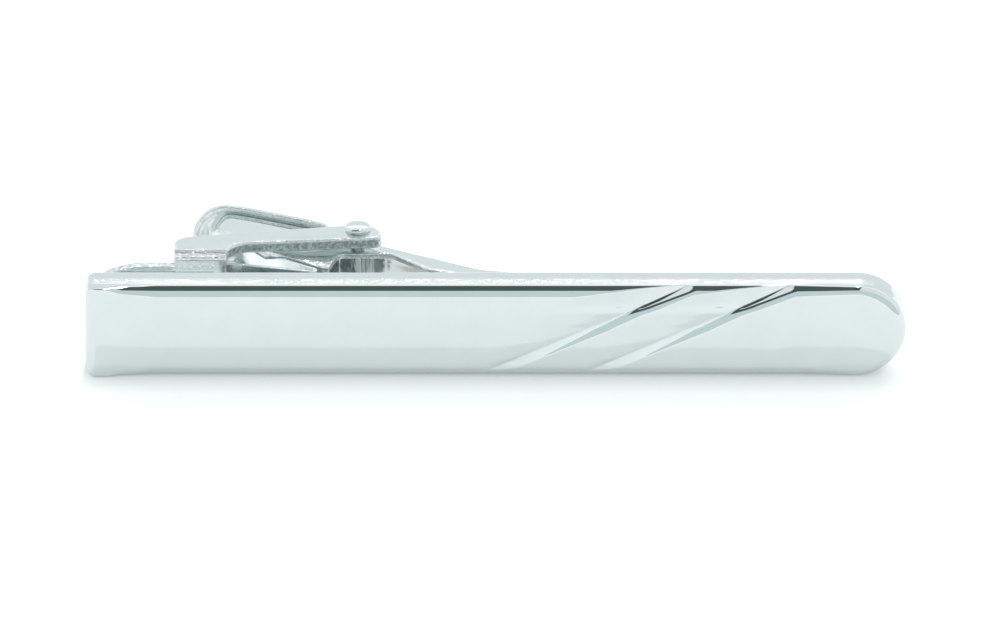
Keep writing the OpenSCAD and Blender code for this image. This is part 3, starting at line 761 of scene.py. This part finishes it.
def make_plate():
    """The thumb plate with its shallow rim."""
    half, slim, tip = THUMB_W / 2, CHEEK_W / 2, 2.6
    ends, normals = oval_end(THUMB_X, tip, half, 34)
    taper, end = THUMB_TAPER, THUMB_END
    outline = list(zip(ends, normals))
    long_side, last = np.arange(THUMB_X + tip + 0.1, taper, 0.16), [end + 0.2, end + 0.4]
    for x in np.concatenate([long_side, np.linspace(taper, end, 10), last]):
        w = float(np.interp(x, [taper, end], [half, slim]))
        soft = float(np.interp(x, [taper - 0.2, taper + 0.2, end - 0.2, end + 0.2], [0, 1, 1, 0]))
        outline.append((np.array([x, w]), unit([0.65 * soft, 1.0])))
    spines = [max(p[0], THUMB_X + tip) for p, n in outline]
    rc, er, recess = 0.17, 0.1, 0.06

    def section(p, n, sx):
        out = []

        def add(q, w, worn, kind=0):
            out.append((q[0], float(far_d(q[0], w)), MID_Z + q[1], worn, kind))

        spine = np.array([sx, 0.0])
        for k in (0, 0.3, 0.6, 0.85):
            add(spine + (p - rc * n - spine) * k, 0, 0)
        for a in np.radians(np.linspace(0, 90, 7)):
            add(p - n * rc * (1 - math.sin(a)), rc * (1 - math.cos(a)), 0.1)
        add(p, (rc + TRAY_H - er) / 2, 0)
        add(p, TRAY_H - er - 0.03, 0.1)
        for a in np.radians([0, 30, 60]):
            add(p - n * er * (1 - math.cos(a)), TRAY_H - er * (1 - math.sin(a)), 1)
        for k in (0, 0.33, 0.66):
            add(p - n * (er + (LEVER_T - er - recess) * k), TRAY_H, 1, 1)
        for a in np.radians([0, 45, 90]):
            add(p - n * (LEVER_T - recess + recess * math.sin(a)), TRAY_H - recess * (1 - math.cos(a)), 0.5)
        add(p - n * LEVER_T, LEVER_T + 0.03, 0, 2)
        add(p - n * (LEVER_T + 0.03), LEVER_T, 0, 2)
        inner = p - n * (LEVER_T + 0.03)
        for k in (0.85, 0.6, 0.3, 0):
            add(spine + (inner - spine) * k, LEVER_T, 0, 2)
        return out

    points, faces, kinds, wear, caps = loft(outline, spines, section)
    return points, faces + [list(c) for c in caps], kinds + [0, 0], wear


def make_channel():
    """The cheeks and the jaw: one channel, rounded under the thumb plate and closed at both ends."""
    half = CHEEK_W / 2 + 0.05
    ends, normals = oval_end(CHEEK_X, CHEEK_ROUND, half, 26)
    outline = list(zip(ends, normals))
    stops = [
        (CHEEK_X + CHEEK_ROUND, 16.6, 0.14), (16.6, 18.3, 0.04), (18.3, 21.4, 0.12), (21.4, 28.2, 0.14),
        (28.2, 33.5, 0.1),
    ]
    even = [np.arange(a + step, b, step) for a, b, step in stops]
    columns = np.concatenate(even + [NEAR[NEAR[:, 0] > 16.7, 0]])
    columns = np.unique(np.round(columns[columns < TIP_X - 0.45], 3))
    columns = columns[np.concatenate([[True], np.diff(columns) > 0.004])]
    outline += [(np.array([x, half]), np.array([0.0, 1.0])) for x in columns]
    r = 0.4
    for a in np.radians(np.linspace(90, 0, 9)):
        n = np.array([math.cos(a), math.sin(a)])
        outline.append((np.array([TIP_X - r, half - r]) + r * n, n))
    for z in np.linspace(half - r, 0, 10)[1:]:
        outline.append((np.array([TIP_X, z]), np.array([1.0, 0.0])))
    spines = [min(max(p[0], CHEEK_X + CHEEK_ROUND), TIP_X - 0.9) for p, n in outline]
    hidden = THUMB_END + 0.1

    def section(p, n, sx):
        out = []
        sunk = 0.1 * float(1 - smooth((p[0] - hidden) / 0.25))
        top = 0.3 - 2 * sunk
        er, ri = 0.1, 0.12

        def add(q, d, worn, kind=0):
            out.append((q[0], float(d), MID_Z + q[1], worn, kind))

        spine = np.array([sx, 0.0])
        for k in (0, 0.4, 0.8):
            q = spine + (p - top * n - spine) * k
            add(q, far_d(q[0], sunk), 0)
        for a in np.radians(np.linspace(0, 90, 8)):
            q = p - n * top * (1 - math.sin(a))
            add(q, far_d(q[0], sunk + top * (1 - math.cos(a))), 0.05)
        high, low = float(far_d(p[0], sunk + top)), float(near_d(p[0])) + er
        for k in (0.25, 0.5, 0.75):
            add(p, high + (low - high) * k, 0)
        for a in np.radians([0, 30, 60]):
            q = p - n * er * (1 - math.cos(a))
            add(q, near_d(q[0]) + er * (1 - math.sin(a)), 1)
        for k in (0, 0.33, 0.66):
            q = p - n * (er + (LEVER_T - 2 * er) * k)
            add(q, near_d(q[0]), 1, 1)
        for a in np.radians([0, 30, 60, 90]):
            q = p - n * (LEVER_T - er + er * math.sin(a))
            add(q, near_d(q[0]) + er * (1 - math.cos(a)), 1, 2 if a > 1.5 else 0)
        q = p - n * LEVER_T
        low, high = float(near_d(q[0])) + er, float(far_d(q[0], LEVER_T + ri - 0.3 * sunk))
        for k in (0.33, 0.66):
            add(q, low + (high - low) * k, 0, 2)
        for a in np.radians([0, 30, 60, 90]):
            q = p - n * (LEVER_T + ri * (1 - math.cos(a)))
            add(q, far_d(q[0], LEVER_T - 0.3 * sunk + ri * (1 - math.sin(a))), 0, 2)
        inner = p - n * (LEVER_T + ri)
        for k in (0.6, 0.3, 0):
            q = spine + (inner - spine) * k
            add(q, far_d(q[0], LEVER_T - 0.3 * sunk), 0, 2)
        return out

    return loft(outline, spines, section)[:4]


# Painted light: the lever's inner faces (kind 2) take the brightened inner plating, so the shaded insides
# look lit.
points, faces, kinds, wear = joined([make_plate(), make_channel()])
lever = add_piece("lever_sheet", points, faces, kinds, [lever_finish, lever_edge_painted_light, inner_painted_light_finish], wear)
even_shading(lever)
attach(lever, "lever")
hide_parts("thumb_lever")


# Making the spring
def spring_line(thick):
    """Middle line of the spring, from the web round the loop to the thumb plate: place and depth."""
    loop_r, rise, centre = 0.25, 31.8, np.array([PIVOT_X - 3.2, 2.15])
    slope = math.radians(rise)
    seat_d = WEB_BACK + thick / 2
    start, bend = (WEB_END - 2.35, seat_d), (WEB_END + 0.35, seat_d)
    low = centre - [0, loop_r]
    up = centre + loop_r * np.array([math.sin(slope), math.cos(slope)])
    end = np.array([PIVOT_X - 8.8, float(far_d(PIVOT_X - 8.8, LEVER_T)) - 0.1 - thick])
    pull = np.linalg.norm(end - up) / 2
    lean = np.array([-math.sin(END_SLOPE), math.cos(END_SLOPE)])
    b = up + pull * np.array([-math.cos(slope), math.sin(slope)])
    c = end - pull / 2 * lean
    t = np.linspace(0, 1, 60)[1:, None]
    curve = up * (1 - t) ** 3 + 3 * b * (1 - t) ** 2 * t + 3 * c * (1 - t) * t**2 + end * t**3
    loop = arc(centre, loop_r, -90, 90 - rise, 20)
    return np.concatenate([[start], rounded(start, bend, low, 3.0), loop, curve])


def make_spring():
    """The leaf spring: a wide lower leg, and an upper leg that narrows to an oval end."""
    thick, width, leg_w, end_w = 0.25, 4.4, 3.0, 2.6
    fine = resample(spring_line(thick), 0.09)
    s = lengths(fine)
    loop_s = s[np.argmax(fine[:, 0])]
    top = fine[-1, 1]
    end_r, corner_r, er = 0.8, 0.5, 0.06
    points, rows = [], []
    for i, p in enumerate(fine):
        t = unit(fine[min(i + 1, len(fine) - 1)] - fine[max(i - 1, 0)])
        side = np.array([-t[1], t[0]])
        half = width / 2
        if s[i] > loop_s:
            half = np.interp(p[1], [3.9, 5.2, top - end_r], [width / 2, leg_w / 2, end_w / 2])
            if p[1] > top - end_r:
                half = end_w / 2 - end_r + math.sqrt(max(end_r**2 - (p[1] - top + end_r) ** 2, 0.0004))
        elif s[i] < corner_r:
            half -= corner_r - math.sqrt(max(corner_r**2 - (corner_r - s[i]) ** 2, 0.0004))
        ring = []
        for cy, cz, a0 in ((1, 1, 0), (-1, 1, 90), (-1, -1, 180), (1, -1, 270)):
            for a in np.radians(np.linspace(a0, a0 + 90, 4)):
                off = cy * (thick / 2 - er) + er * math.cos(a)
                z = cz * (half - er) + er * math.sin(a)
                ring.append([p[0] + side[0] * off, p[1] + side[1] * off, MID_Z + z])
        rows.append(list(range(len(points), len(points) + len(ring))))
        points += ring
    faces = strips(rows, closed=True) + [rows[0], rows[-1]]
    worn = np.full(len(points), 0.8)
    # Painted light: the spring takes the lightened plating.
    return add_piece("spring_leaf", points, faces, [0] * len(faces), [spring_painted_light_finish], worn)


spring = make_spring()
even_shading(spring)
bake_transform(spring)
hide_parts("leaf_spring")


# Floor, light and camera
def floor():
    """A pale floor that glows faintly and evenly, with a painted contact shadow: less glow in a narrow strip
    along the front of the bar's foot.
    """
    glow, painted_shadow_glow, half_side = 0.42, 0.19, 2.0
    m = bpy.data.materials.new("pale_floor")
    m.use_nodes = True
    shader = m.node_tree.nodes["Principled BSDF"]
    socket(shader, "Base Color", (0.84, 0.85, 0.85, 1))
    socket(shader, "Roughness", 0.5)
    socket(shader, "Specular IOR Level", 0.2)
    socket(shader, "Emission Color", (1, 1, 1, 1))
    nodes, links = m.node_tree.nodes, m.node_tree.links
    split = nodes.new("ShaderNodeSeparateXYZ")
    links.new(nodes.new("ShaderNodeTexCoord").outputs["Object"], split.inputs[0])
    # Painted contact shadow: the glow drops in a strip under and just in front of the bar, fading out past
    # its ends and behind it.
    front = (EDGE_Y - BAR_T) / 1000
    near = mapped(nodes, links, split.outputs["Y"], front - 0.0024, front + 0.0004, 0, 1)
    painted_shadow_fades = (("X", -0.030, -0.0285, 0, 1), ("X", 0.027, 0.029, 1, 0), ("Y", 0.0008, 0.0014, 1, 0))
    for axis, *limits in painted_shadow_fades:
        near = times(nodes, links, near, mapped(nodes, links, split.outputs[axis], *limits))
    links.new(mapped(nodes, links, near, 0, 1, glow, painted_shadow_glow), shader.inputs["Emission Strength"])
    mesh = bpy.data.meshes.new("floor")
    corners = [(x * half_side, y * half_side, -1e-5) for x, y in ((-1, -1), (1, -1), (1, 1), (-1, 1))]
    mesh.from_pydata(corners, [], [(0, 1, 2, 3)])
    mesh.materials.append(m)
    obj = bpy.data.objects.new("floor", mesh)
    scene.collection.objects.link(obj)


def studio():
    """White room, grey low in front, with one dark strip overhead, along the bar. Angles are measured
    round the bar, in degrees from the level in front of it over the top to the level behind it."""
    world = bpy.data.worlds.new("studio")
    scene.world = world
    world.use_nodes = True
    nodes, links = world.node_tree.nodes, world.node_tree.links
    nodes.clear()
    split = nodes.new("ShaderNodeSeparateXYZ")
    links.new(nodes.new("ShaderNodeTexCoord").outputs["Generated"], split.inputs[0])
    flip = times(nodes, links, split.outputs["Y"], -1.0)
    angle = nodes.new("ShaderNodeMath")
    angle.operation = "ARCTAN2"
    links.new(split.outputs["Z"], angle.inputs[0])
    links.new(flip, angle.inputs[1])
    low, high = -20.0, 180.0
    strip_start, strip_stop, strip_left, strip_right = 68, 127, -0.7, 0.15

    def tilted(degrees):
        """The angle, raised to the left of the middle so that an edge overhead runs aslant."""
        n = nodes.new("ShaderNodeMath")
        n.operation = "ADD"
        links.new(angle.outputs[0], n.inputs[0])
        links.new(mapped(nodes, links, split.outputs["X"], -0.6, 0, math.radians(degrees), 0), n.inputs[1])
        return n.outputs[0]

    def ramp(stops, value):
        place = mapped(nodes, links, value, math.radians(low), math.radians(high), 0, 1)
        n = nodes.new("ShaderNodeValToRGB")
        while len(n.color_ramp.elements) < len(stops):
            n.color_ramp.elements.new(0.5)
        for e, (degrees, color) in zip(n.color_ramp.elements, stops):
            e.position = (degrees - low) / (high - low)
            e.color = (*color, 1)
        links.new(place, n.inputs["Fac"])
        return n.outputs["Color"]

    grey, dark, mid_white = (0.80, 0.90, 0.915), (0.102, 0.132, 0.13), (1.06, 1.08, 1.08)
    bright, back = (1.5, 1.5, 1.5), (0.98, 1.04, 1.065)
    front = [(-20, grey), (65, grey)]
    rear = [(131, mid_white), (140, mid_white), (142, bright), (148.8, bright), (150.8, back), (180, back)]

    def between(low_x, high_x):
        """One between two limits along the bar, fading over a few hundredths beyond them."""
        rising = mapped(nodes, links, split.outputs["X"], low_x - 0.06, low_x, 0, 1)
        falling = mapped(nodes, links, split.outputs["X"], high_x, high_x + 0.04, 1, 0)
        return times(nodes, links, rising, falling)

    def blend(factor, a, b):
        n = nodes.new("ShaderNodeMix")
        n.data_type = "RGBA"
        for socket_number, link in ((0, factor), (6, a), (7, b)):
            links.new(link, n.inputs[socket_number])
        return n.outputs[2]

    room = ramp(front + [(70, mid_white)] + rear, angle.outputs[0])
    strip = ramp(front + [(strip_start, dark), (180, dark)], tilted(18))
    below = mapped(nodes, links, tilted(54), math.radians(strip_stop), math.radians(strip_stop + 4), 1, 0)
    background = nodes.new("ShaderNodeBackground")
    covered = times(nodes, links, below, between(strip_left, strip_right))
    links.new(blend(covered, room, strip), background.inputs["Color"])
    links.new(background.outputs[0], nodes.new("ShaderNodeOutputWorld").inputs[0])


def lamp(name, elevation, strength, spread):
    """A soft sun from behind. elevation and spread are in degrees."""
    data = bpy.data.lights.new(name, "SUN")
    data.energy = strength
    data.angle = math.radians(spread)
    obj = bpy.data.objects.new(name, data)
    e = math.radians(elevation)
    obj.rotation_mode = "QUATERNION"
    obj.rotation_quaternion = Vector((0.05, math.cos(e), math.sin(e))).to_track_quat("Z", "Y")
    scene.collection.objects.link(obj)


def camera():
    """A long lens in front, 27 degrees above the bar's own level."""
    data = bpy.data.cameras.new("camera")
    obj = bpy.data.objects.new("camera", data)
    scene.collection.objects.link(obj)
    data.lens, data.sensor_width = 800, 36
    data.clip_start, data.clip_end = 0.01, 20
    elevation, field = math.radians(27), 0.07057  # field is the width seen at the bar, in metres
    back = Vector((0, -math.cos(elevation), math.sin(elevation)))
    target = Vector((0.000287, EDGE_Y / 1000 - 0.003, 0.005155))
    obj.location = target + back * (field * data.lens / data.sensor_width)
    obj.rotation_mode = "QUATERNION"
    obj.rotation_quaternion = (-back).to_track_quat("-Z", "Y")
    scene.camera = obj


floor()
studio()
lamp("key", 54, 0.5, 3)
camera()
scene.view_settings.view_transform = "Standard"
scene.cycles.glossy_bounces = 12  # the clasp's walls mirror each other many times
